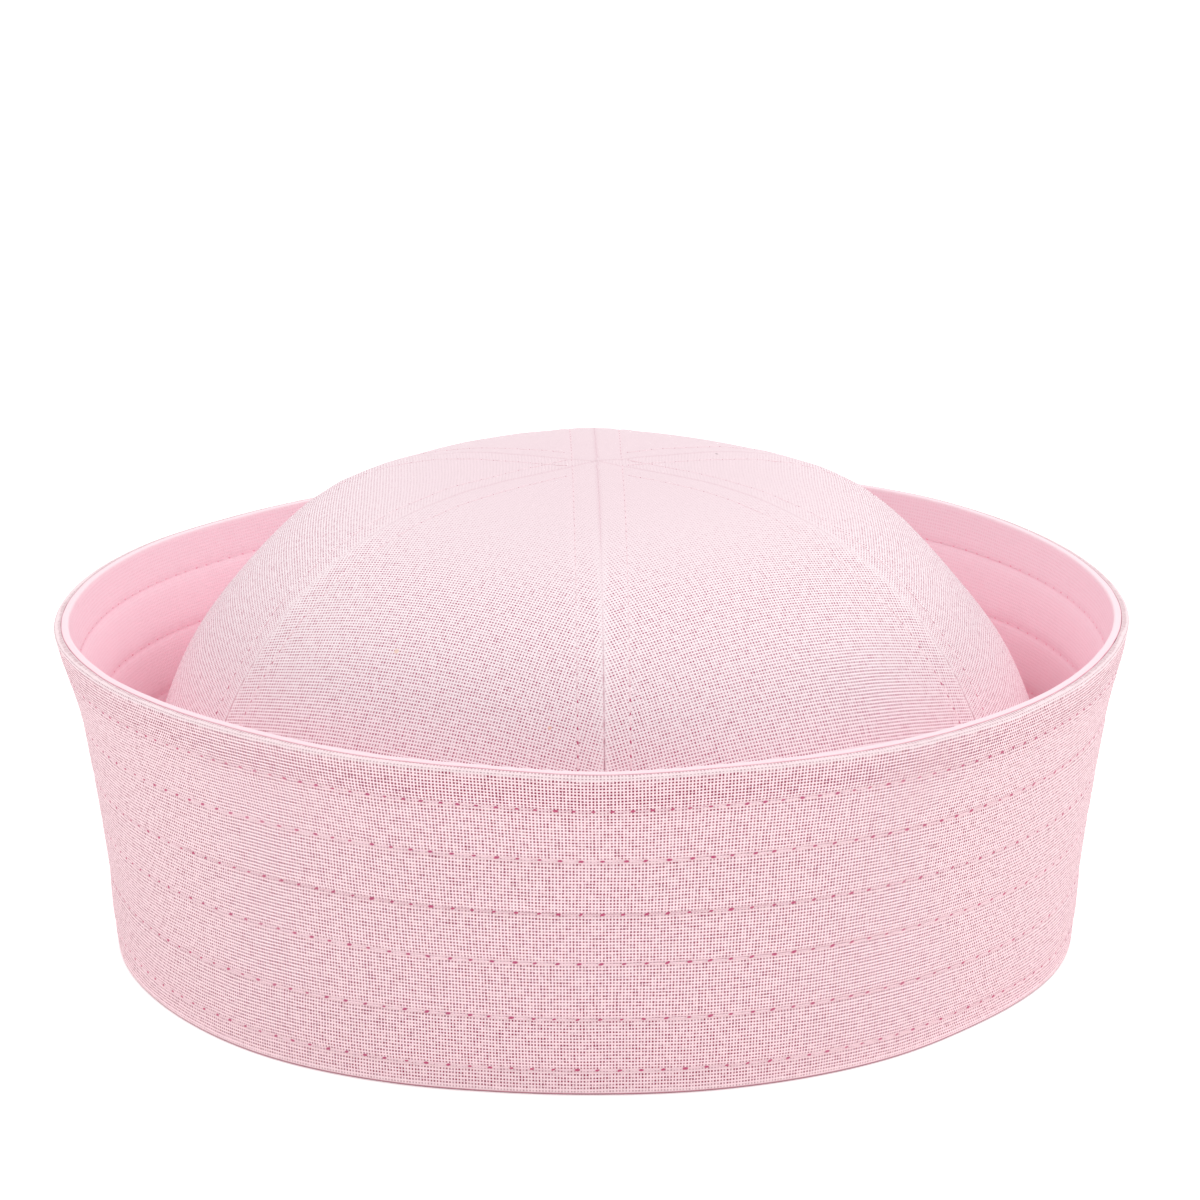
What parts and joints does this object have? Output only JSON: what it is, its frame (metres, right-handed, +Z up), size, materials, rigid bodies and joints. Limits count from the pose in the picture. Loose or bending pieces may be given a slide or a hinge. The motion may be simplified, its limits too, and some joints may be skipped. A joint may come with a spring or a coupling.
{
  "type": "sailor cap",
  "caption": "Soft round sewn cap: a hollow dome of cloth gores, open below for the head, inside a tall turned-up brim that flares towards its rim.",
  "frame": {"origin": "middle of the bounding box on the surface that the cap stands on", "axes": "+Z up through the crown, -Y to the front of the cap, +X to the cap's left as worn"},
  "size_m": [0.212, 0.2118, 0.0975],
  "materials": {
    "crown_cotton": "plain woven cotton, matt, pale pink",
    "brim_cotton": "plain woven cotton, matt, pink, stitched in rows"
  },
  "bodies": {
    "root": {"gore_1": "crown_cotton", "gore_2": "crown_cotton", "gore_3": "crown_cotton", "gore_4": "crown_cotton", "gore_5": "crown_cotton", "gore_6": "crown_cotton", "brim_outer": "brim_cotton", "brim_inner": "brim_cotton"}
  },
  "joints": []
}
